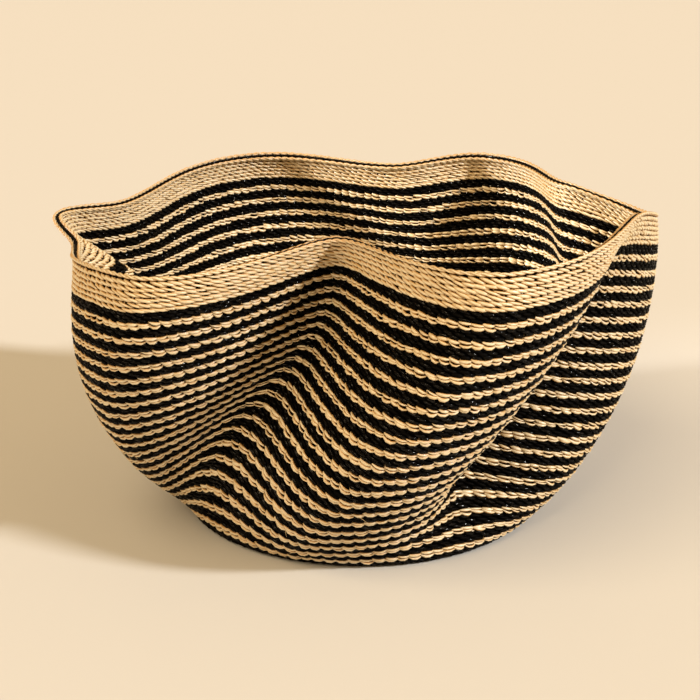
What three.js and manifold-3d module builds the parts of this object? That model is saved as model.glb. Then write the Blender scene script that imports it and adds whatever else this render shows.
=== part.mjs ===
// Waved bowl basket of twined straw: natural and black stripes woven round a cage of split-straw stakes.
// Millimetres, +Z up. The origin is the middle of the flat underside, and the front faces -Y.
import * as THREE from "three";
import { mergeVertices } from "three/addons/utils/BufferGeometryUtils.js";
import Module from "manifold-3d";

// Mean wall, one curve from the rim over the shoulder and the heel to the foot
const rimRadius = 195;
const rimHeight = 201;
const shoulderRadius = 207;
const shoulderRise = 0.875; // share of the rim's height
const heelRadius = 180;
const heelRise = 0.34; // share of the rim's height
const footRadius = 118;

// Turning points of the rim wave, lobe and valley by turns: bearing in degrees round from +X,
// reach beyond the mean rim and lift above it as shares of the rim's radius
const rimTurns = [
  { bearing: 20, reach: 0.041, lift: -0.062 }, // right lobe
  { bearing: 34, reach: -0.092, lift: 0 },
  { bearing: 64, reach: 0.144, lift: 0 }, // back right lobe
  { bearing: 83, reach: -0.026, lift: -0.026 },
  { bearing: 112, reach: 0.113, lift: 0 }, // back left lobe
  { bearing: 155, reach: -0.062, lift: -0.041 },
  { bearing: 178, reach: 0.045, lift: -0.008 }, // left lobe
  { bearing: 193, reach: -0.021, lift: -0.041 },
  { bearing: 231, reach: 0.082, lift: 0.015 }, // front left lobe
  { bearing: 263, reach: -0.385, lift: 0.072 }, // deep front valley
  { bearing: 294, reach: 0.031, lift: 0.051 }, // front right lobe
  { bearing: 338, reach: -0.077, lift: 0.072 },
];

// How the waves change from the rim (0) to the foot (1)
const fadePower = 2.2; // dying away towards the foot
const fadeSwell = 5.2; // growth just below the rim
const swirlAngle = 45; // turn of the lobes from rim to foot, degrees
const swirlPower = 1.4;
const sagShare = 0.43; // part of a lobe's reach by which its middle rows sag
const sagPower = 1.9;

// Creases in the wall: width in degrees, deepest at the share called place of the way down,
// deepening from the rim by the power called growth and dying away to the foot by fade
const frontCreaseDepth = 70;
const leftCreaseDepth = 60;
const creases = [
  { depth: frontCreaseDepth, bearing: 342, width: 18, place: 0.63, growth: 1.3, fade: 1.5 }, // front right lobe
  { depth: leftCreaseDepth, bearing: 190, width: 14, place: 0.3, growth: 0.9, fade: 1.8 }, // left lobe
];

// Stakes, the upright split straws that every stripe is woven round
const stakeCount = 30;
const bundleCount = 6;
const stakeWidth = 1.6;
const stakeThickness = 1.8;
const rootRadius = 42; // where the stakes of a bundle join
const rootWidth = 12;
const rootThickness = 1.6;

// Woven courses
const courseThickness = 1.5;
const rimEdgeHeight = 3;
const rimCoreWidth = 1.3;
const rimBandHeight = 17.4;
const rimCourses = 2;
const stripePairs = 20;
const blackRows = 3; // rows of weave in a black stripe
const naturalRows = 2; // rows of weave in a natural stripe

// Base
const undersideThickness = 2;
const insideThickness = 2;
const knotRadius = 29;
const discSides = 48;

// Gap kept between neighbouring pieces
const clearance = 0.5;

const rootHeight = undersideThickness + clearance + stakeThickness / 2;
const weaveOffset = stakeThickness / 2 + clearance + courseThickness / 2;
const wallHalf = weaveOffset + courseThickness / 2;
const bearingStep = 360 / stakeCount;
const meanWall = new THREE.CubicBezierCurve(
  new THREE.Vector2(rimRadius, rimHeight),
  new THREE.Vector2(shoulderRadius, shoulderRise * rimHeight),
  new THREE.Vector2(heelRadius, heelRise * rimHeight),
  new THREE.Vector2(footRadius, rootHeight),
);
const wallLength = meanWall.getLength();
const footGap = stakeThickness + 2 * clearance; // the last course ends this far short of the foot

const naturalStraw = new THREE.MeshStandardMaterial({ color: 0xd6aa6e, roughness: 0.7, metalness: 0 });
const blackStraw = new THREE.MeshStandardMaterial({ color: 0x17130f, roughness: 0.6, metalness: 0 });

const basket = new THREE.Group();
const wasm = await Module();
wasm.setup();

// Reach and lift of the rim wave at a bearing, eased from one turning point to the next
function rimWave(bearing) {
  const first = rimTurns[0].bearing;
  const turned = THREE.MathUtils.euclideanModulo(bearing - first, 360) + first;
  const next = rimTurns.findIndex((turn) => turn.bearing > turned);
  const to = next < 0 ? { ...rimTurns[0], bearing: first + 360 } : rimTurns[next];
  const from = next < 0 ? rimTurns.at(-1) : rimTurns[next - 1];
  const way = (turned - from.bearing) / (to.bearing - from.bearing);
  const eased = (1 - Math.cos(Math.PI * way)) / 2;
  return {
    reach: rimRadius * THREE.MathUtils.lerp(from.reach, to.reach, eased),
    lift: rimRadius * THREE.MathUtils.lerp(from.lift, to.lift, eased),
  };
}

// How far a crease draws the wall in, at a bearing that turns with the lobes
function creaseAt({ depth, bearing, width, place, growth, fade }, lobe, down) {
  const off = THREE.MathUtils.euclideanModulo(lobe - bearing + 180, 360) - 180;
  const above = Math.min(down / place, 1);
  const below = Math.max((down - place) / (1 - place), 0);
  const grown = Math.sin((Math.PI / 2) * above) ** growth;
  const left = Math.cos((Math.PI / 2) * below) ** fade;
  return depth * grown * left * Math.exp(-((off / width) ** 2));
}

// How far all creases together draw the wall in
function creaseSum(lobe, down) {
  return creases.reduce((sum, crease) => sum + creaseAt(crease, lobe, down), 0);
}

// Unit vector out of the mean wall, in radius and height
function wallNormal(down) {
  const along = meanWall.getTangentAt(down);
  return new THREE.Vector2(-along.y, along.x);
}

// A point of the wall: bearing in degrees, share of the way down from the rim, offset out of the wall
function wallPoint(bearing, down, offset) {
  const mean = meanWall.getPointAt(down);
  const out = wallNormal(down);
  const lobe = bearing + swirlAngle * down ** swirlPower;
  const wave = rimWave(lobe);
  const fade = (1 - down) ** fadePower * (1 + fadeSwell * down);
  const sag = sagShare * Math.sin(Math.PI * down ** sagPower) * wave.reach;
  const raise = ((mean.y - rootHeight) / (rimHeight - rootHeight)) * wave.lift;
  const radius = mean.x + fade * wave.reach - creaseSum(lobe, down) + offset * out.x;
  const height = mean.y + raise - sag + offset * out.y;
  const angle = THREE.MathUtils.degToRad(bearing);
  return new THREE.Vector3(radius * Math.cos(angle), radius * Math.sin(angle), height);
}

// Closed solid through a row of sections, each a loop that turns right-handed about the way onwards
function sweep(sections, closed) {
  const size = sections[0].length;
  const index = [];
  const joints = closed ? sections.length : sections.length - 1;
  for (let s = 0; s < joints; s++) {
    const here = s * size;
    const there = ((s + 1) % sections.length) * size;
    for (let i = 0; i < size; i++) {
      const j = (i + 1) % size;
      // Opposite sides are split the same way, so that nested solids stay clear of each other
      if (i < size / 2) index.push(here + i, here + j, there + j, here + i, there + j, there + i);
      else index.push(here + i, here + j, there + i, here + j, there + j, there + i);
    }
  }
  const last = (sections.length - 1) * size;
  for (let i = 1; i < size - 1 && !closed; i++) {
    index.push(0, i + 1, i, last, last + i, last + i + 1);
  }
  const geometry = new THREE.BufferGeometry().setFromPoints(sections.flat());
  geometry.setIndex(index);
  geometry.computeVertexNormals();
  return geometry;
}

function addPiece(name, geometry, material) {
  const mesh = new THREE.Mesh(geometry, material);
  mesh.name = name;
  basket.add(mesh);
  return mesh;
}

// Ring round the whole wall between two depths below the rim; offsetAt gives its middle at each stake
function wallRing(name, top, bottom, thickness, offsetAt, material) {
  const upper = top / wallLength;
  const lower = bottom / wallLength;
  const sections = [];
  for (let stake = 0; stake < stakeCount; stake++) {
    const bearing = stake * bearingStep;
    const outer = offsetAt(stake) + thickness / 2;
    const inner = offsetAt(stake) - thickness / 2;
    sections.push([
      wallPoint(bearing, upper, outer),
      wallPoint(bearing, lower, outer),
      wallPoint(bearing, lower, inner),
      wallPoint(bearing, upper, inner),
    ]);
  }
  return addPiece(name, sweep(sections, true), material);
}

// Courses of weave from the rim edge down: each passes outside one stake and inside the next, and its
// neighbours pass the other way
let courseTop = rimEdgeHeight;
let courseSide = 1;
function addCourse(name, height, material) {
  const side = courseSide;
  const offsetAt = (stake) => (stake % 2 === 0 ? side : -side) * weaveOffset;
  const top = courseTop + clearance;
  const bottom = courseTop + height;
  wallRing(name, top, bottom, courseThickness, offsetAt, material);
  courseTop = bottom;
  courseSide = -side;
}

function numbered(name, number) {
  return name + "_" + String(number).padStart(2, "0");
}

// Rim edge: a natural strand outside and inside, with the black core between them over the stake tips
const strandWidth = wallHalf - rimCoreWidth / 2 - clearance;
const strandOffset = wallHalf - strandWidth / 2;
wallRing("rim_outer_strand", 0, rimEdgeHeight, strandWidth, () => strandOffset, naturalStraw);
wallRing("rim_core_cord", 0, rimEdgeHeight, rimCoreWidth, () => 0, blackStraw);
wallRing("rim_inner_strand", 0, rimEdgeHeight, strandWidth, () => -strandOffset, naturalStraw);

// Rim band, plain natural
for (let course = 1; course <= rimCourses; course++) {
  addCourse(numbered("rim_band", course), rimBandHeight / rimCourses, naturalStraw);
}

// Stripes: black and natural by turns, ending in a black one at the foot
const blackShare = blackRows / (blackRows + naturalRows);
const stripesHeight = wallLength - rimEdgeHeight - rimBandHeight - footGap;
const pairHeight = stripesHeight / (stripePairs + blackShare);
for (let stripe = 1; stripe <= stripePairs; stripe++) {
  addCourse(numbered("black_stripe", stripe), pairHeight * blackShare, blackStraw);
  addCourse(numbered("natural_stripe", stripe), pairHeight * (1 - blackShare), naturalStraw);
}
addCourse(numbered("black_stripe", stripePairs + 1), pairHeight * blackShare, blackStraw);

// Section of a stake at a point of its run, pointed on all four sides
function stakeSection(middle, out, across) {
  const lift = out.clone().multiplyScalar(stakeThickness / 2);
  const spread = across.clone().multiplyScalar(stakeWidth / 2);
  return [
    middle.clone().add(lift),
    middle.clone().sub(spread),
    middle.clone().sub(lift),
    middle.clone().add(spread),
  ];
}

// One stake, from under the rim core down the middle of the wall and in along the base to its root
function stakeGeometry(stake) {
  const bearing = stake * bearingStep;
  const angle = THREE.MathUtils.degToRad(bearing);
  const outward = new THREE.Vector3(Math.cos(angle), Math.sin(angle), 0);
  const round = new THREE.Vector3(-Math.sin(angle), Math.cos(angle), 0);
  const start = (rimEdgeHeight + clearance) / wallLength;
  const steps = 2 * (stripePairs + rimCourses); // two to a pair of stripes
  const sections = [];
  for (let step = 0; step <= steps; step++) {
    const down = THREE.MathUtils.lerp(start, 1, step / steps);
    const normal = wallNormal(down);
    if (step === steps) normal.add(new THREE.Vector2(0, -1)).normalize();
    const out = outward.clone().multiplyScalar(normal.x).setZ(normal.y);
    const ahead = wallPoint(bearing + bearingStep, down, 0);
    const behind = wallPoint(bearing - bearingStep, down, 0);
    sections.push(stakeSection(wallPoint(bearing, down, 0), out, ahead.sub(behind).normalize()));
  }
  const root = outward.clone().multiplyScalar(rootRadius).setZ(rootHeight);
  sections.push(stakeSection(root, new THREE.Vector3(0, 0, -1), round));
  return sweep(sections, false);
}

// Flat butt that joins the roots of a bundle, from one of its stakes to another
function rootGeometry(firstStake, lastStake) {
  const sections = [];
  for (let stake = firstStake; stake <= lastStake; stake++) {
    const angle = THREE.MathUtils.degToRad(stake * bearingStep);
    const corner = (radius, height) =>
      new THREE.Vector3(radius * Math.cos(angle), radius * Math.sin(angle), rootHeight + height);
    const outer = rootRadius + rootWidth / 2;
    const inner = rootRadius - rootWidth / 2;
    sections.push([
      corner(outer, rootThickness / 2),
      corner(outer, -rootThickness / 2),
      corner(inner, -rootThickness / 2),
      corner(inner, rootThickness / 2),
    ]);
  }
  return sweep(sections, false);
}

function solidOf(geometry) {
  const bare = geometry.clone();
  bare.deleteAttribute("normal");
  const merged = mergeVertices(bare);
  return new wasm.Manifold(
    new wasm.Mesh({
      numProp: 3,
      vertProperties: merged.attributes.position.array,
      triVerts: new Uint32Array(merged.index.array),
    }),
  );
}

function joined(geometries) {
  const solid = geometries.map(solidOf).reduce((whole, piece) => whole.add(piece));
  const mesh = solid.getMesh();
  const geometry = new THREE.BufferGeometry();
  geometry.setAttribute("position", new THREE.BufferAttribute(mesh.vertProperties, 3));
  geometry.setIndex(new THREE.BufferAttribute(mesh.triVerts, 1));
  geometry.computeVertexNormals();
  return geometry;
}

// Stake bundles, one for each sixth of the bowl
const stakesInBundle = stakeCount / bundleCount;
for (let bundle = 0; bundle < bundleCount; bundle++) {
  const first = bundle * stakesInBundle;
  const last = first + stakesInBundle - 1;
  const pieces = [rootGeometry(first, last)];
  for (let stake = first; stake <= last; stake++) {
    pieces.push(stakeGeometry(stake));
  }
  addPiece(numbered("stake_bundle", bundle + 1), joined(pieces), blackStraw);
}

// Flat disc of the base, with its lower face at a height
function addDisc(name, radius, bottom, thickness, material) {
  const disc = new THREE.CylinderGeometry(radius, radius, thickness, discSides);
  const mesh = addPiece(name, disc, material);
  mesh.rotation.x = Math.PI / 2;
  mesh.position.z = bottom + thickness / 2;
}

const rootTop = rootHeight + stakeThickness / 2;
addDisc("base_underside_disc", footRadius - clearance, 0, undersideThickness, blackStraw);
const insideRadius = footRadius - wallHalf - clearance;
addDisc("base_inside_disc", insideRadius, rootTop + clearance, insideThickness, blackStraw);
addDisc("base_start_knot", knotRadius, rootHeight - rootThickness / 2, rootThickness, naturalStraw);

export default basket;
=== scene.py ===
import math

import bpy
import numpy as np
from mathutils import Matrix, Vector


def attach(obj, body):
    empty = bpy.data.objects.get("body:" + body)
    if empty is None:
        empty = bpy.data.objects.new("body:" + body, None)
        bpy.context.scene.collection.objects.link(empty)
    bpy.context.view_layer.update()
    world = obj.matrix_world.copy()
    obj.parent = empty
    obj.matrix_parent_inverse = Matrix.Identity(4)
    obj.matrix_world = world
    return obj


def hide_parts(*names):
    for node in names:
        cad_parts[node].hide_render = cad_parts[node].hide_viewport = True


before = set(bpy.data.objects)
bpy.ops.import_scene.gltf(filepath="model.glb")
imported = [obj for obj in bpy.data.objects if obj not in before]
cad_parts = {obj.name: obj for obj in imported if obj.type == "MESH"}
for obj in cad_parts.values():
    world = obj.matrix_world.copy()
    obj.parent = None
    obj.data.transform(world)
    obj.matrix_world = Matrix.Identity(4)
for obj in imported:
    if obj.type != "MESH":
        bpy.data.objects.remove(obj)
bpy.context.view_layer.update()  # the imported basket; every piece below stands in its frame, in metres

scene = bpy.context.scene
scene.view_settings.view_transform = "Standard"

# The bowl's mean wall and its waves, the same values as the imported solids
bowl = {
    "rim": (0.195, 0.201),        # radius and height
    "shoulder": (0.207, 0.1759),
    "heel": (0.180, 0.0683),
    "foot": (0.118, 0.0034),
    "fadePower": 2.2,             # how the rim's waves die out towards the foot
    "fadeSwell": 5.2,
    "swirlAngle": 45.0,           # degrees that the lobes turn by the foot
    "swirlPower": 1.4,
    "sagShare": 0.43,             # how far rows drop where the wall stands out
    "sagPower": 1.9,
    "creases": [                  # depth, bearing, width, place, growth, fade
        (0.070, 342.0, 18.0, 0.63, 1.3, 1.5), (0.060, 190.0, 14.0, 0.30, 0.9, 1.8),
    ],
    "rimTurns": [                 # bearing, reach and lift as shares of the rim's radius
        (20, 0.041, -0.062), (34, -0.092, 0.0), (64, 0.144, 0.0), (83, -0.026, -0.026),
        (112, 0.113, 0.0), (155, -0.062, -0.041), (178, 0.045, -0.008), (193, -0.021, -0.041),
        (231, 0.082, 0.015), (263, -0.385, 0.072), (294, 0.031, 0.051), (338, -0.077, 0.072),
    ],
}

# Rows from the rim down, metres along the wall
rows = {
    "edge": 0.003,
    "band": 0.0174,
    "bandRows": 6,
    "bandSplit": 3,               # rows in the upper ring of the band
    "pairs": 20,
    "blackShare": 0.6,
    "lastShare": 0.15,            # the black stripe at the foot shows less, its lower row turns under
    "footGap": 0.0012,
    "stakeTop": 0.0012,           # stakes start just under the rim edge
}

# How finely the wall is measured
measure = {
    "curveSteps": 4001,
    "roundSteps": 2881,
    "turn": 0.15,                 # degrees to each side for the way along a row
    "fall": 0.002,                # share of the wall to each side for the way down
    "closest": 0.5,               # least and most that rows are drawn together or apart
    "widest": 1.3,
    "fewestStakes": 6,
}


def bowlCurve():
    t = np.linspace(0.0, 1.0, measure["curveSteps"])[:, None]
    rim, shoulder, heel, foot = (np.array(bowl[k]) for k in ("rim", "shoulder", "heel", "foot"))
    curve = (1 - t) ** 3 * rim + 3 * (1 - t) ** 2 * t * shoulder
    curve = curve + 3 * (1 - t) * t ** 2 * heel + t ** 3 * foot
    run = np.concatenate(([0.0], np.cumsum(np.linalg.norm(np.diff(curve, axis=0), axis=1))))
    return curve, run / run[-1], run[-1]


meanCurve, meanShare, wallLength = bowlCurve()


def rimWave(lobe):
    # reach and lift of the rim at a bearing, eased from one turning point to the next
    turns = bowl["rimTurns"]
    stops = np.array([t[0] for t in turns] + [turns[0][0] + 360.0])
    reach = np.array([t[1] for t in turns] + [turns[0][1]]) * bowl["rim"][0]
    lift = np.array([t[2] for t in turns] + [turns[0][2]]) * bowl["rim"][0]
    turned = (lobe - stops[0]) % 360.0 + stops[0]
    at = np.clip(np.searchsorted(stops, turned, side="right") - 1, 0, len(turns) - 1)
    ease = (1 - np.cos(np.pi * (turned - stops[at]) / (stops[at + 1] - stops[at]))) / 2
    return reach[at] + ease * (reach[at + 1] - reach[at]), lift[at] + ease * (lift[at + 1] - lift[at])


def creaseSum(lobe, down):
    total = 0.0
    for depth, bearing, width, place, growth, fade in bowl["creases"]:
        off = (lobe - bearing + 180.0) % 360.0 - 180.0
        grown = np.sin(np.pi / 2 * np.minimum(down / place, 1)) ** growth
        left = np.cos(np.pi / 2 * np.clip((down - place) / (1 - place), 0, 1)) ** fade
        total = total + depth * grown * left * np.exp(-(off / width) ** 2)
    return total


def wallPoint(bearing, down):
    # down runs from 0 at the rim to 1 at the foot
    down = np.clip(down, 0.0, 1.0)
    meanRadius = np.interp(down, meanShare, meanCurve[:, 0])
    meanHeight = np.interp(down, meanShare, meanCurve[:, 1])
    lobe = bearing + bowl["swirlAngle"] * down ** bowl["swirlPower"]
    reach, lift = rimWave(lobe)
    fade = (1 - down) ** bowl["fadePower"] * (1 + bowl["fadeSwell"] * down)
    sag = bowl["sagShare"] * np.sin(np.pi * down ** bowl["sagPower"]) * reach
    footHeight = bowl["foot"][1]
    lifted = (meanHeight - footHeight) / (bowl["rim"][1] - footHeight) * lift
    radius = meanRadius + fade * reach - creaseSum(lobe, down)
    angle = np.radians(bearing)
    return np.stack((radius * np.cos(angle), radius * np.sin(angle), meanHeight + lifted - sag), axis=-1)


def unit(v):
    return v / np.maximum(np.linalg.norm(v, axis=-1, keepdims=True), 1e-12)


def wallFrame(bearing, depth):
    # point, way along the row, way out of the wall, way down it, and how far rows are drawn together
    down = depth / wallLength
    turn, step = measure["turn"], measure["fall"]
    low, high = np.clip(down - step, 0, 1), np.clip(down + step, 0, 1)
    along = unit(wallPoint(bearing + turn, down) - wallPoint(bearing - turn, down))
    fall = (wallPoint(bearing, high) - wallPoint(bearing, low)) / ((high - low) * wallLength)[..., None]
    out = unit(np.cross(fall, along))
    below = np.cross(along, out)
    close = np.clip(np.sum(fall * below, axis=-1), measure["closest"], measure["widest"])
    return wallPoint(bearing, down), along, out, below, close


def floorFrame(height, side):
    # the same for a flat round of the base; depth runs in from the foot
    def at(bearing, depth):
        angle = np.radians(bearing)
        radius = bowl["foot"][0] - depth
        zero = np.zeros_like(angle)
        point = np.stack((radius * np.cos(angle), radius * np.sin(angle), zero + height), axis=-1)
        along = np.stack((-np.sin(angle), np.cos(angle), zero), axis=-1)
        out = np.stack((zero, zero, zero + side), axis=-1)
        inward = np.stack((-np.cos(angle), -np.sin(angle), zero), axis=-1)
        return point, along, out, inward, zero + 1.0
    return at


def evenStakes(frameAt, depth, pitch):
    # bearings of stakes set evenly along one row; their number is even, so that both strands close
    fine = np.linspace(0.0, 360.0, measure["roundSteps"])
    line = frameAt(fine, np.full_like(fine, depth))[0]
    run = np.concatenate(([0.0], np.cumsum(np.linalg.norm(np.diff(line, axis=0), axis=1))))
    count = max(measure["fewestStakes"], 2 * round(run[-1] / pitch / 2))
    return np.interp(np.linspace(0.0, run[-1], count + 1), run, fine)


def capQuads(sides):
    # a flat end for a tube with an even number of sides
    return np.array([(0, k, k + 1, k + 2) for k in range(1, sides - 1, 2)])


# What all stitches have in common
stitchForm = {
    "endPower": 0.75,             # how bluntly a stitch runs out
    "endWidth": 0.07,             # what is left of its width there
    "divePower": 2.2,             # how late its ends go under
    "reachVary": 0.07,
    "placeVary": 0.05,
    "heightVary": 0.5,            # share of a straw's unevenness that its height and thickness get
    "varyMost": 2,                # random draws are cut off here
    "bowLeast": 0.5,              # the least share of the sag that a stitch gets
}


class Weave:
    # gathers closed tubes of straw and turns them into one mesh
    def __init__(self, seed):
        self.rng = np.random.default_rng(seed)
        self.points, self.faces, self.straws, self.marks, self.count = [], [], [], [], 0

    def vary(self, amount, many):
        most = stitchForm["varyMost"]
        return (amount * np.clip(self.rng.normal(0, 1, many), -most, most))[:, None]

    def keep(self, points, quads, share, ring, mark):
        # each point remembers its place along the straw, across it and outward, and a number for its stitch
        straw = np.empty((*share.shape, len(ring), 3))
        straw[..., 0] = share[..., None]
        straw[..., 1] = np.cos(ring)
        straw[..., 2] = np.sin(ring)
        self.points.append(points.reshape(-1, 3))
        self.straws.append(straw.reshape(-1, 3))
        self.marks.append(np.repeat(np.broadcast_to(mark, share.shape).ravel(), len(ring)))
        self.faces.append(quads + self.count)
        self.count += share.size * len(ring)

    def tube(self, centre, width, thick, face, sides, share, mark, closed=True):
        if closed:
            onward = unit(np.roll(centre, -1, axis=0) - np.roll(centre, 1, axis=0))
        else:
            onward = unit(np.gradient(centre, axis=0))
        across = unit(np.cross(onward, face))
        lift = np.cross(across, onward)
        ring = 2 * np.pi * np.arange(sides) / sides
        points = (centre[:, None, :]
                  + across[:, None, :] * (width[:, None] / 2 * np.cos(ring))[..., None]
                  + lift[:, None, :] * (thick[:, None] / 2 * np.sin(ring))[..., None])
        many = len(centre)
        here = np.arange(many if closed else many - 1)[:, None] * sides
        there = (np.arange(1, len(here) + 1) % many)[:, None] * sides
        a = np.arange(sides)[None, :]
        b = (a + 1) % sides
        quads = np.stack((here + a, there + a, there + b, here + b), axis=-1).reshape(-1, 4)
        if not closed:
            caps = capQuads(sides)
            quads = np.concatenate((quads, caps, caps[:, ::-1] + (many - 1) * sides))
        self.keep(points, quads, share, ring, mark)

    def stitches(self, frameAt, stakes, depth, look, phase=0.0, bow=0.0, faces=(1, -1)):
        # one twined row: at each stake a slanting stitch outside and one inside, ends under the next ones
        many = len(stakes) - 1
        t = np.array(look["stations"])
        end = np.abs(t)
        full = (1 - end ** look["leaf"]) ** stitchForm["endPower"] + stitchForm["endWidth"]
        sides = look["sides"]
        ring = 2 * np.pi * np.arange(sides) / sides
        uneven = look["uneven"]
        heightVary = stitchForm["heightVary"] * uneven
        for face in faces:
            reach = look["reach"] * (1 + self.vary(stitchForm["reachVary"], many))
            j = np.arange(many)[:, None] + phase + self.vary(stitchForm["placeVary"], many) + reach * t
            bearing = np.interp(j % many, np.arange(many + 1), stakes)
            point, _, out, below, close = frameAt(bearing, np.full_like(bearing, depth))
            dive = look["dive"] * end ** stitchForm["divePower"]
            rise = face * (look["proud"] * (1 + self.vary(heightVary, many)) - dive)
            tilt = face * look["slant"] * (1 + self.vary(look["sway"], many)) * t
            drop = tilt + self.vary(look["wander"], many)
            drop = drop + bow * (stitchForm["bowLeast"] + self.rng.random((many, 1))) * (1 - t * t)
            centre = point + out * rise[..., None] + below * (drop * close)[..., None]
            width = look["width"] * close * (1 + self.vary(uneven, many)) * full
            thick = look["thick"] * (1 + self.vary(heightVary, many)) * full
            onward = unit(np.gradient(centre, axis=1))
            across = unit(np.cross(onward, out))
            lift = np.cross(across, onward)
            points = (centre[:, :, None, :]
                      + across[:, :, None, :] * (width[..., None] / 2 * np.cos(ring))[..., None]
                      + lift[:, :, None, :] * (thick[..., None] / 2 * np.sin(ring))[..., None])
            step = len(t)
            first = (np.arange(many) * step * sides)[:, None, None]
            here = first + (np.arange(step - 1) * sides)[None, :, None]
            a = np.arange(sides)[None, None, :]
            b = (a + 1) % sides
            quads = np.stack((here + a, here + sides + a, here + sides + b, here + b), axis=-1).reshape(-1, 4)
            caps = capQuads(sides)
            quads = np.concatenate((quads, (first + caps).reshape(-1, 4),
                                    (first + (step - 1) * sides + caps[:, ::-1]).reshape(-1, 4)))
            self.keep(points, quads, np.tile((t + 1) / 2, (many, 1)), ring, self.rng.random((many, 1)))

    def strays(self, frameAt, depth, look):
        # fine loose fibres that stand off the row
        for _ in range(look["count"]):
            bearing, turn, lean, bend = self.rng.random(4)
            face = 1 if self.rng.random() < look["outside"] else -1
            place = frameAt(np.array([360 * bearing]), np.array([depth]))
            point, along, out, below = (v[0] for v in place[:4])
            off = look["standOff"] + look["standMore"] * lean
            way = unit(along * np.sign(turn - 0.5) + face * out * off + below * (bend - 0.5))
            length = look["length"] * (look["shortest"] + (1 - look["shortest"]) * turn)
            s = np.linspace(0, 1, look["steps"])[:, None]
            line = point + face * out * look["root"] + way * length * s
            line = line + below * (bend - look["curl"]) * length * s * s
            thin = look["width"] * (1 - look["taper"] * s[:, 0])
            low, high = look["fibre"]
            self.tube(line, thin, thin, out, look["sides"], low + (high - low) * s[:, 0], self.rng.random(),
                      closed=False)

    def rope(self, frameAt, stakes, depth, offset, look):
        # two straws laid round each other
        many = len(stakes) - 1
        steps = look["steps"]
        j = np.arange(many * steps) / steps
        bearing = np.interp(j, np.arange(many + 1), stakes)
        point, _, out, below, _ = frameAt(bearing, np.full_like(bearing, depth))
        stitch = np.floor(j + 0.5).astype(int) % many
        for strand in (0, 1):
            c = np.cos(np.pi * (j + strand))
            s = np.sin(np.pi * (j + strand))
            wide = 1 + look["uneven"] * self.rng.normal(0, 1, many)[stitch] * np.abs(c)
            wide = np.clip(wide, look["thinnest"], look["thickest"])
            centre = point + out * (offset + look["lay"] * c)[:, None] + below * (look["lay"] * s)[:, None]
            self.tube(centre, look["width"] * wide, look["thick"] * wide, out, look["sides"],
                      (j + 0.5) % 1, self.rng.random(many)[stitch])

    def mesh(self, node, ending, material):
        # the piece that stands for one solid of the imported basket
        points = np.concatenate(self.points)
        quads = np.concatenate(self.faces)
        made = bpy.data.meshes.new(node + ending)
        made.vertices.add(len(points))
        made.vertices.foreach_set("co", points.astype(np.float32).ravel())
        made.loops.add(quads.size)
        made.loops.foreach_set("vertex_index", quads.astype(np.int32).ravel())
        made.polygons.add(len(quads))
        made.polygons.foreach_set("loop_start", np.arange(0, quads.size, 4, dtype=np.int32))
        made.polygons.foreach_set("use_smooth", np.ones(len(quads), dtype=bool))
        straw = made.attributes.new("straw", "FLOAT_VECTOR", "POINT")
        straw.data.foreach_set("vector", np.concatenate(self.straws).astype(np.float32).ravel())
        stitch = made.attributes.new("stitch", "FLOAT", "POINT")
        stitch.data.foreach_set("value", np.concatenate(self.marks).astype(np.float32))
        made.update(calc_edges=True)
        made.materials.append(material)
        piece = bpy.data.objects.new(node + ending, made)
        scene.collection.objects.link(piece)
        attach(piece, "root")
        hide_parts(node)


# Straw finish shared by all straws: colour by the stitch, fibres along it, painted shade on the sides and
# ends, a painted highlight along the crown, glints
fibreLook = {
    "across": 1.6,                # how closely the fibres change across and along a straw
    "along": 0.7,
    "stitchShift": 40.0,          # another piece of the pattern for each stitch
    "fibre": (3.2, 3.0),          # scale and detail of each noise
    "blotch": (0.9, 2.0),
    "speck": (5.0, 1.0),
    "streakShare": 0.35,
    "highlightRange": (0.6, 1.0),     # a painted highlight makes the crown of a straw paler
    "highlightShare": 0.55,
    "stitchShare": 0.4,
    "bodyRange": (0.25, 0.95),
    "grooveRange": (0.56, 0.36),
    # painted shade on the sides of each straw and the ends of each stitch
    "sideRange": (0.3, 0.95),
    "tipRange": (0.32, 0.6),
    "shineRange": (0.35, 0.65),
    "spotRange": (0.56, 0.62),
    "spotStitches": (0.3, 0.5),   # only some stitches glint
}


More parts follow.
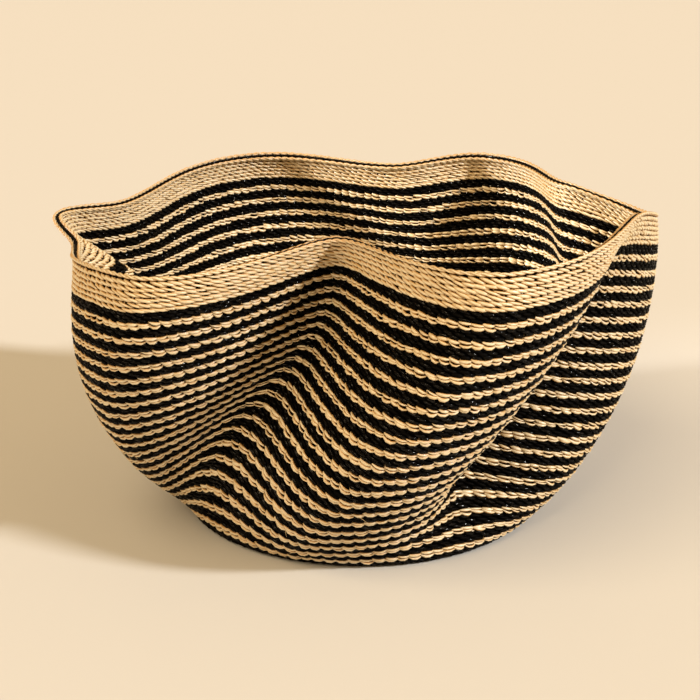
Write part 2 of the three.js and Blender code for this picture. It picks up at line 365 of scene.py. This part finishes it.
def strawGroup():
    group = bpy.data.node_groups.new("Straw Fibre", "ShaderNodeTree")
    face = group.interface
    for name, kind, value in (
        ("Pale", "NodeSocketColor", (0.8, 0.6, 0.3, 1)),
        ("Middle", "NodeSocketColor", (0.6, 0.4, 0.16, 1)),
        ("Deep", "NodeSocketColor", (0.3, 0.15, 0.05, 1)),
        ("Fibre Depth", "NodeSocketFloat", 0.5),
        ("Painted Shade", "NodeSocketFloat", 0.6),
        ("Glints", "NodeSocketFloat", 0.5),
        ("Dull", "NodeSocketFloat", 0.6),
        ("Shiny", "NodeSocketFloat", 0.35),
    ):
        socket = face.new_socket(name=name, in_out="INPUT", socket_type=kind)
        socket.default_value = value
    face.new_socket(name="Colour", in_out="OUTPUT", socket_type="NodeSocketColor")
    for name in ("Roughness", "Height", "Glint"):
        face.new_socket(name=name, in_out="OUTPUT", socket_type="NodeSocketFloat")
    nodes, links = group.nodes, group.links
    taken = nodes.new("NodeGroupInput")
    given = nodes.new("NodeGroupOutput")
    straw = nodes.new("ShaderNodeAttribute")
    straw.attribute_name = "straw"
    parts = nodes.new("ShaderNodeSeparateXYZ")
    links.new(straw.outputs["Vector"], parts.inputs[0])
    stitch = nodes.new("ShaderNodeAttribute")
    stitch.attribute_name = "stitch"
    along, across, outward = (parts.outputs[axis] for axis in "XYZ")
    number = stitch.outputs["Fac"]

    def math2(kind, a, b):
        node = nodes.new("ShaderNodeMath")
        node.operation = kind
        for socket, value in zip(node.inputs, (a, b)):
            if isinstance(value, (int, float)):
                socket.default_value = value
            else:
                links.new(value, socket)
        return node.outputs[0]

    # long cells along the straw
    join = nodes.new("ShaderNodeCombineXYZ")
    links.new(math2("MULTIPLY", across, fibreLook["across"]), join.inputs["X"])
    links.new(math2("MULTIPLY", outward, fibreLook["across"]), join.inputs["Y"])
    links.new(math2("ADD", math2("MULTIPLY", along, fibreLook["along"]),
                    math2("MULTIPLY", number, fibreLook["stitchShift"])), join.inputs["Z"])

    def noise(kind):
        node = nodes.new("ShaderNodeTexNoise")
        links.new(join.outputs[0], node.inputs["Vector"])
        node.inputs["Scale"].default_value, node.inputs["Detail"].default_value = fibreLook[kind]
        return node.outputs["Fac"]

    def ramp(source, kind):
        node = nodes.new("ShaderNodeMapRange")
        links.new(source, node.inputs["Value"])
        node.inputs["From Min"].default_value, node.inputs["From Max"].default_value = fibreLook[kind]
        return node.outputs["Result"]

    def mix(fac, a, b):
        node = nodes.new("ShaderNodeMix")
        node.data_type = "RGBA"
        links.new(fac, node.inputs["Factor"])
        links.new(a, node.inputs["A"])
        links.new(b, node.inputs["B"])
        return node.outputs["Result"]

    fibre, blotch, speck = noise("fibre"), noise("blotch"), noise("speck")
    streak = math2("ADD", math2("MULTIPLY", blotch, fibreLook["streakShare"]),
                   math2("MULTIPLY", fibre, fibreLook["streakShare"]))
    # painted highlight: the crown of each straw, inside and out, is mixed towards the pale colour
    crownHighlight = math2("MULTIPLY", ramp(math2("ABSOLUTE", outward, 0), "highlightRange"), fibreLook["highlightShare"])
    byStitch = math2("ADD", math2("MULTIPLY", number, fibreLook["stitchShare"]), math2("ADD", streak, crownHighlight))
    body = mix(ramp(byStitch, "bodyRange"), taken.outputs["Middle"], taken.outputs["Pale"])
    groove = math2("MULTIPLY", ramp(fibre, "grooveRange"), taken.outputs["Fibre Depth"])
    # painted shade: the sides of each straw and the ends of each stitch, where they go under their
    # neighbours, are darkened
    side = ramp(math2("ABSOLUTE", across, 0), "sideRange")
    tip = ramp(math2("ABSOLUTE", math2("SUBTRACT", along, 0.5), 0), "tipRange")
    shade = math2("MULTIPLY", math2("MAXIMUM", side, tip), taken.outputs["Painted Shade"])
    # the fibre grooves and the painted shade both darken the colour towards Deep
    links.new(mix(math2("MAXIMUM", groove, shade), body, taken.outputs["Deep"]), given.inputs["Colour"])
    shine = nodes.new("ShaderNodeMix")
    links.new(ramp(fibre, "shineRange"), shine.inputs["Factor"])
    links.new(taken.outputs["Dull"], shine.inputs["A"])
    links.new(taken.outputs["Shiny"], shine.inputs["B"])
    links.new(shine.outputs["Result"], given.inputs["Roughness"])
    links.new(fibre, given.inputs["Height"])
    spots = math2("MULTIPLY", ramp(speck, "spotRange"), ramp(number, "spotStitches"))
    links.new(math2("MULTIPLY", spots, taken.outputs["Glints"]), given.inputs["Glint"])
    return group


fibreGroup = strawGroup()


def strawMaterial(name, look):
    made = bpy.data.materials.new(name)
    made.use_nodes = True
    nodes, links = made.node_tree.nodes, made.node_tree.links
    shader = nodes["Principled BSDF"]
    fibres = nodes.new("ShaderNodeGroup")
    fibres.node_tree = fibreGroup
    for socket in ("Pale", "Middle", "Deep"):
        fibres.inputs[socket].default_value = (*look[socket], 1)
    for socket in ("Fibre Depth", "Painted Shade", "Glints", "Dull", "Shiny"):
        fibres.inputs[socket].default_value = look[socket]
    bump = nodes.new("ShaderNodeBump")
    bump.inputs["Strength"].default_value = look["bump"]
    bump.inputs["Distance"].default_value = look["bumpDepth"]
    links.new(fibres.outputs["Height"], bump.inputs["Height"])
    links.new(bump.outputs["Normal"], shader.inputs["Normal"])
    links.new(fibres.outputs["Colour"], shader.inputs["Base Color"])
    links.new(fibres.outputs["Roughness"], shader.inputs["Roughness"])
    if look["Glints"] > 0:
        links.new(fibres.outputs["Glint"], shader.inputs["Coat Weight"])
    shader.inputs["Coat Roughness"].default_value = look["glintRough"]
    shader.inputs["Specular IOR Level"].default_value = look["gloss"]
    shader.inputs["IOR"].default_value = look["ior"]
    return made


everyStraw = {"bumpDepth": 0.0003, "glintRough": 0.16}
blackTones = {
    "Pale": (0.0025, 0.0018, 0.0013),
    "Middle": (0.0013, 0.0009, 0.0006),
    "Deep": (0.0006, 0.0004, 0.0003),
}
# each finish's side value sets the painted shade on the sides and ends of its straws; Deep is the colour of
# that shade and of the fibre grooves
naturalStraw = strawMaterial("naturalStraw", {
    **everyStraw,
    "Pale": (0.81, 0.70, 0.455), "Middle": (0.67, 0.43, 0.135), "Deep": (0.42, 0.19, 0.035),
    "Fibre Depth": 0.45, "Painted Shade": 0.9, "Glints": 0.5, "Dull": 0.5, "Shiny": 0.34,
    "bump": 0.5, "gloss": 0.75, "ior": 1.75,
})
blackStraw = strawMaterial("blackStraw", {
    **everyStraw, **blackTones,
    "Fibre Depth": 0.5, "Painted Shade": 0.8, "Glints": 1.0, "Dull": 0.7, "Shiny": 0.45,
    "bump": 0.5, "gloss": 0.035, "ior": 1.5,
})
stakeStraw = strawMaterial("stakeStraw", {
    **everyStraw, **blackTones,
    "Fibre Depth": 0.5, "Painted Shade": 0.8, "Glints": 0.0, "Dull": 0.85, "Shiny": 0.7,
    "bump": 0.4, "gloss": 0.03, "ior": 1.5,
})
print("straw finishes ready")

# Rim edge: a natural two-ply strand outside and inside, a black core between them
rimEdge = {
    "pitch": 0.0057,
    "countDepth": 0.012,          # where along the wall the stakes of the rim are counted
    "strand": {"width": 0.0015, "thick": 0.0014, "lay": 0.0006, "uneven": 0.16,
               "thinnest": 0.6, "thickest": 1.5, "steps": 4, "sides": 6},
    "core": {"width": 0.0015, "thick": 0.0013, "lay": 0.0005, "uneven": 0.12,
             "thinnest": 0.6, "thickest": 1.5, "steps": 3, "sides": 5},
    "offset": 0.0019,
    "outerDepth": 0.0014,
    "innerDepth": 0.0028,         # the inner strand lies lower, so the black core shows from inside only
    "coreDepth": 0.0019,
    "seeds": {"outer": 11, "inner": 12, "core": 13},
}
rimStakes = evenStakes(wallFrame, rimEdge["countDepth"], rimEdge["pitch"])
for where, side in (("outer", 1), ("inner", -1)):
    edge = Weave(rimEdge["seeds"][where])
    edge.rope(wallFrame, rimStakes, rimEdge[where + "Depth"], side * rimEdge["offset"], rimEdge["strand"])
    edge.mesh(f"rim_{where}_strand", "_twist", naturalStraw)
edge = Weave(rimEdge["seeds"]["core"])
edge.rope(wallFrame, rimStakes, rimEdge["coreDepth"], 0.0, rimEdge["core"])
edge.mesh("rim_core_cord", "_twist", blackStraw)
print("rim edge twisted,", len(rimStakes) - 1, "stakes round the rim")

# Plain natural band under the edge: twined rows of single straw
rimBand = {
    "stitch": {"width": 0.00185, "thick": 0.0018, "proud": 0.0014, "dive": 0.0014, "slant": 0.0013,
               "reach": 0.95, "leaf": 5.0, "wander": 0.00012, "sway": 0.25, "uneven": 0.14, "sides": 6,
               "stations": (-1, -0.84, -0.3, 0.3, 0.84, 1)},
    "lean": (0.0, 0.22, 0.34, 0.62, 0.71, 1.02),   # how far on each row starts, in stitches
    "seed": 21,
}
rowHeight = rows["band"] / rows["bandRows"]
bandSpans = (range(0, rows["bandSplit"]), range(rows["bandSplit"], rows["bandRows"]))
for part, span in enumerate(bandSpans):
    band = Weave(rimBand["seed"] + part)
    for row in span:
        depth = rows["edge"] + (row + 0.5) * rowHeight
        band.stitches(wallFrame, rimStakes, depth, rimBand["stitch"], rimBand["lean"][row])
    band.mesh(f"rim_band_{part + 1:02d}", "_rows", naturalStraw)
print("rim band twined")

# Stripes, black and natural by turns; stakes are taken out in steps as the bowl narrows
stripe = {
    "pitchTop": 0.0062,
    "pitchFoot": 0.0079,
    "group": 3,                   # pairs of stripes that share one set of stakes
    "black": {"width": 0.0024, "thick": 0.0015, "proud": 0.00135, "dive": 0.0008, "slant": 0.0008,
              "reach": 0.64, "leaf": 3.0, "wander": 0.0001, "sway": 0.15, "uneven": 0.12, "sides": 4,
              "stations": (-1, -0.42, 0.42, 1)},
    "natural": {"width": 0.0019, "thick": 0.0018, "proud": 0.0014, "dive": 0.0012, "slant": 0.0006,
                "reach": 0.66, "leaf": 2.1, "wander": 0.00018, "sway": 0.7, "uneven": 0.24, "sides": 6,
                "stations": (-1, -0.72, -0.26, 0.26, 0.72, 1)},
    "blackLines": 3,
    "lastLines": 2,               # rows of the black stripe at the foot
    "lastRoom": 1.5,              # row heights from its top to the foot
    "naturalSpread": 0.0013,
    "bow": (0.0005, 0.0013),      # how far the upper and the lower straw of a stitch sag
    "bowParts": 3,                # natural rows start this part of both sags higher
    "blackSeed": 100,
    "naturalSeed": 200,
    "strays": {"count": 5, "length": 0.006, "shortest": 0.4, "root": 0.0018, "width": 0.0004, "taper": 0.6,
               "outside": 0.7, "standOff": 0.2, "standMore": 0.5, "curl": 0.6, "fibre": (0.3, 0.7),
               "steps": 5, "sides": 4},
}
stripesTop = rows["edge"] + rows["band"]
pairHeight = (wallLength - stripesTop - rows["footGap"]) / (rows["pairs"] + rows["lastShare"])
blackHeight = pairHeight * rows["blackShare"]
stakeSets = [(rows["stakeTop"], stripesTop, rimStakes)]   # top, bottom and bearings of each set


def stripeStakes(number):
    # the set of stakes that this pair of stripes is woven round
    first = (number - 1) // stripe["group"] * stripe["group"]
    last = min(first + stripe["group"], rows["pairs"] + 1)
    top = stripesTop + first * pairHeight
    bottom = stripesTop + last * pairHeight
    middle = (top + bottom) / 2
    pitch = stripe["pitchTop"] + (stripe["pitchFoot"] - stripe["pitchTop"]) * middle / wallLength
    bearings = evenStakes(wallFrame, middle, pitch)
    if (top, bottom) not in [(t, b) for t, b, s in stakeSets]:
        stakeSets.append((top, bottom, bearings))
    return bearings


for number in range(1, rows["pairs"] + 2):
    bearings = stripeStakes(number)
    top = stripesTop + (number - 1) * pairHeight
    black = Weave(stripe["blackSeed"] + number)
    lines = stripe["blackLines"] if number <= rows["pairs"] else stripe["lastLines"]
    lineHeight = min(blackHeight / stripe["blackLines"], (wallLength - top) / stripe["lastRoom"])
    for line in range(lines):     # every other row starts half a stitch on
        depth = top + (line + 0.5) * lineHeight
        black.stitches(wallFrame, bearings, depth, stripe["black"], phase=line % 2 / 2)
    black.mesh(f"black_stripe_{number:02d}", "_rows", blackStraw)
    if number > rows["pairs"]:
        break
    natural = Weave(stripe["naturalSeed"] + number)
    middle = top + blackHeight + (pairHeight - blackHeight) / 2
    for side, bow in zip((-1, 1), stripe["bow"]):
        depth = middle + side * stripe["naturalSpread"] / 2 - sum(stripe["bow"]) / stripe["bowParts"]
        natural.stitches(wallFrame, bearings, depth, stripe["natural"], bow=bow)
    natural.strays(wallFrame, middle, stripe["strays"])
    natural.mesh(f"natural_stripe_{number:02d}", "_rows", naturalStraw)
print("stripes twined round", [len(s) - 1 for t, b, s in stakeSets], "stakes")

# Stakes in six bundles, each a sixth of the bowl, from under the rim edge to their roots in the base
stakeLook = {
    "bundles": 6,
    "firstBearing": -6.0,
    "share": 0.86,                # of the room from one stake to the next
    "thick": 0.0010,
    "sides": 6,
    "steps": 6,
    "overlap": 0.002,
    "fibre": (0.2, 0.8),
    "rootZone": 0.02,             # a set that ends this near the foot goes on into the base
    "rootStart": 0.97,            # share of the foot's radius
    "rootRadius": 0.036,
    "rootSteps": 5,
    "seed": 300,
}
bundleTurn = 360 / stakeLook["bundles"]
rootEnd = stakeLook["rootRadius"] / bowl["foot"][0]
inward = np.linspace(stakeLook["rootStart"], rootEnd, stakeLook["rootSteps"])[:, None]
for bundle in range(stakeLook["bundles"]):
    cage = Weave(stakeLook["seed"] + bundle)
    start = bundle * bundleTurn + stakeLook["firstBearing"]
    for top, bottom, bearings in stakeSets:
        lowest = bottom > wallLength - stakeLook["rootZone"]
        ahead = np.interp(np.arange(len(bearings)) + 0.5, np.arange(len(bearings)), bearings)
        for bearing, halfway in zip(bearings[:-1], ahead):
            turned = (bearing - stakeLook["firstBearing"]) % 360 + stakeLook["firstBearing"]
            if not start <= turned < start + bundleTurn:
                continue
            first = max(top - stakeLook["overlap"], rows["stakeTop"])
            last = wallLength if lowest else bottom + stakeLook["overlap"]
            depth = np.linspace(first, last, stakeLook["steps"] + 1)
            line, _, out, _, _ = wallFrame(np.full_like(depth, bearing), depth)
            gap = np.linalg.norm(wallFrame(np.full_like(depth, halfway), depth)[0] - line, axis=1)
            width = 2 * stakeLook["share"] * gap
            if lowest:
                line = np.concatenate((line, line[-1] * (inward * [1, 1, 0] + [0, 0, 1])))
                out = np.concatenate((out, np.tile([0.0, 0.0, -1.0], (len(inward), 1))))
                width = np.concatenate((width, width[-1] * inward[:, 0]))
            cage.tube(line, width, np.full_like(width, stakeLook["thick"]), out, stakeLook["sides"],
                      np.linspace(*stakeLook["fibre"], len(line)), cage.rng.random(), closed=False)
    cage.mesh(f"stake_bundle_{bundle + 1:02d}", "_straws", stakeStraw)
print("stakes set")

# Base: twined rounds under and over the stake roots, a twisted strand round the foot
base = {
    "underside": {"height": 0.00105, "side": -1, "reach": 0.1155, "pitch": 0.0027, "seed": 401},
    "inside": {"height": 0.0059, "side": 1, "reach": 0.1125, "pitch": 0.0027, "seed": 402},
    "middle": 0.004,              # radius left free at the centre
    "footStrand": {"width": 0.0019, "thick": 0.0017, "lay": 0.0006, "uneven": 0.1,
                 "thinnest": 0.6, "thickest": 1.5, "steps": 4, "sides": 6},
    "footHeight": 0.0021,
    "footDepth": 0.0018,
    "stitch": {"width": 0.0030, "thick": 0.0010, "proud": 0.00045, "dive": 0.0004, "slant": 0.0008,
               "reach": 0.64, "leaf": 3.0, "wander": 0.0001, "sway": 0.15, "uneven": 0.1, "sides": 4,
               "stations": (-1, -0.42, 0.42, 1)},
    "stitchPitch": 0.0075,
}
for where in ("underside", "inside"):
    look = base[where]
    disc = Weave(look["seed"])
    flat = floorFrame(look["height"], look["side"])
    for line in range(int((look["reach"] - base["middle"]) / look["pitch"])):
        depth = bowl["foot"][0] - look["reach"] + line * look["pitch"]
        disc.stitches(flat, evenStakes(flat, depth, base["stitchPitch"]), depth, base["stitch"], faces=(1,))
    if where == "underside":
        flat = floorFrame(base["footHeight"], look["side"])
        stakes = evenStakes(flat, base["footDepth"], base["stitchPitch"])
        disc.rope(flat, stakes, base["footDepth"], 0.0, base["footStrand"])
    disc.mesh(f"base_{where}_disc", "_rounds", blackStraw)

# Natural knot in the middle of the base, where the weave starts
startKnot = {
    "radius": 0.029,
    "height": 0.0078,
    "pitch": 0.0022,
    "middle": 0.003,
    "stitchPitch": 0.0065,
    "stitch": {"width": 0.0025, "thick": 0.0013, "proud": 0.0006, "dive": 0.0006, "slant": 0.0008,
               "reach": 0.64, "leaf": 2.2, "wander": 0.0001, "sway": 0.15, "uneven": 0.12, "sides": 6,
               "stations": (-1, -0.72, -0.26, 0.26, 0.72, 1)},
    "seed": 403,
}
knot = Weave(startKnot["seed"])
flat = floorFrame(startKnot["height"], 1)
for line in range(int((startKnot["radius"] - startKnot["middle"]) / startKnot["pitch"])):
    depth = bowl["foot"][0] - startKnot["radius"] + startKnot["pitch"] / 2 + line * startKnot["pitch"]
    stakes = evenStakes(flat, depth, startKnot["stitchPitch"])
    knot.stitches(flat, stakes, depth, startKnot["stitch"], faces=(1,))
knot.mesh("base_start_knot", "_rounds", naturalStraw)
print("base twined")

# Pale floor, out of the object
floorLook = {"half": 9.0, "colour": (0.605, 0.585, 0.55), "rough": 0.8, "gloss": 0.2}
floorMesh = bpy.data.meshes.new("studioFloor")
half = floorLook["half"]
corners = [(-half, -half, 0), (half, -half, 0), (half, half, 0), (-half, half, 0)]
floorMesh.from_pydata(corners, [], [(0, 1, 2, 3)])
studioFloor = bpy.data.objects.new("studioFloor", floorMesh)
scene.collection.objects.link(studioFloor)
floorFinish = bpy.data.materials.new("studioFloor")
floorFinish.use_nodes = True
floorShader = floorFinish.node_tree.nodes["Principled BSDF"]
floorShader.inputs["Base Color"].default_value = (*floorLook["colour"], 1)
floorShader.inputs["Roughness"].default_value = floorLook["rough"]
floorShader.inputs["Specular IOR Level"].default_value = floorLook["gloss"]
floorMesh.materials.append(floorFinish)

# Light: a key from the right, a wide fill from the front left, a small one from the far left
# into the mouth, and a warm sky
light = {
    "keyLamp": {"from": (0.90, -0.40, 0.60), "aim": (0, 0, 0), "strength": 3.4, "angle": 6.0,
                "colour": (1.0, 0.975, 0.94)},
    "fillLamp": {"from": (-0.50, -0.70, 0.95), "aim": (0, 0, 0), "strength": 2.1, "angle": 45.0,
                 "colour": (1.0, 0.80, 0.53)},
    "mouthLamp": {"from": (-1.05, 0.0, 0.62), "aim": (0.12, 0.13, 0.17), "strength": 0.42, "size": 0.15,
                  "spread": 24.0, "colour": (1.0, 0.97, 0.93)},
    "sky": 0.5,
    "skyColour": (1.0, 0.70, 0.37),
}


def placeLamp(name, kind):
    look = light[name]
    lamp = bpy.data.lights.new(name, kind)
    lamp.energy = look["strength"]
    lamp.color = look["colour"]
    placed = bpy.data.objects.new(name, lamp)
    placed.location = look["from"]
    placed.rotation_euler = (Vector(look["from"]) - Vector(look["aim"])).to_track_quat("Z", "Y").to_euler()
    scene.collection.objects.link(placed)
    return lamp


for name in ("keyLamp", "fillLamp"):
    placeLamp(name, "SUN").angle = math.radians(light[name]["angle"])
mouthLamp = placeLamp("mouthLamp", "AREA")
mouthLamp.shape = "DISK"
mouthLamp.size = light["mouthLamp"]["size"]
mouthLamp.spread = math.radians(light["mouthLamp"]["spread"])
sky = bpy.data.worlds.new("studioSky")
sky.use_nodes = True
sky.node_tree.nodes["Background"].inputs["Color"].default_value = (*light["skyColour"], 1)
sky.node_tree.nodes["Background"].inputs["Strength"].default_value = light["sky"]
scene.world = sky

# Camera at the photograph's angle
view = {"aim": (-0.008, 0.0, 0.106), "distance": 1.10, "elevation": 18.0, "lens": 83.2, "sensor": 36.0}
rise = math.radians(view["elevation"])
cameraData = bpy.data.cameras.new("photoCamera")
cameraData.lens = view["lens"]
cameraData.sensor_width = view["sensor"]
photoCamera = bpy.data.objects.new("photoCamera", cameraData)
aim = Vector(view["aim"])
photoCamera.location = aim + view["distance"] * Vector((0, -math.cos(rise), math.sin(rise)))
photoCamera.rotation_euler = (aim - photoCamera.location).to_track_quat("-Z", "Y").to_euler()
scene.collection.objects.link(photoCamera)
scene.camera = photoCamera
print("floor, light and camera placed")
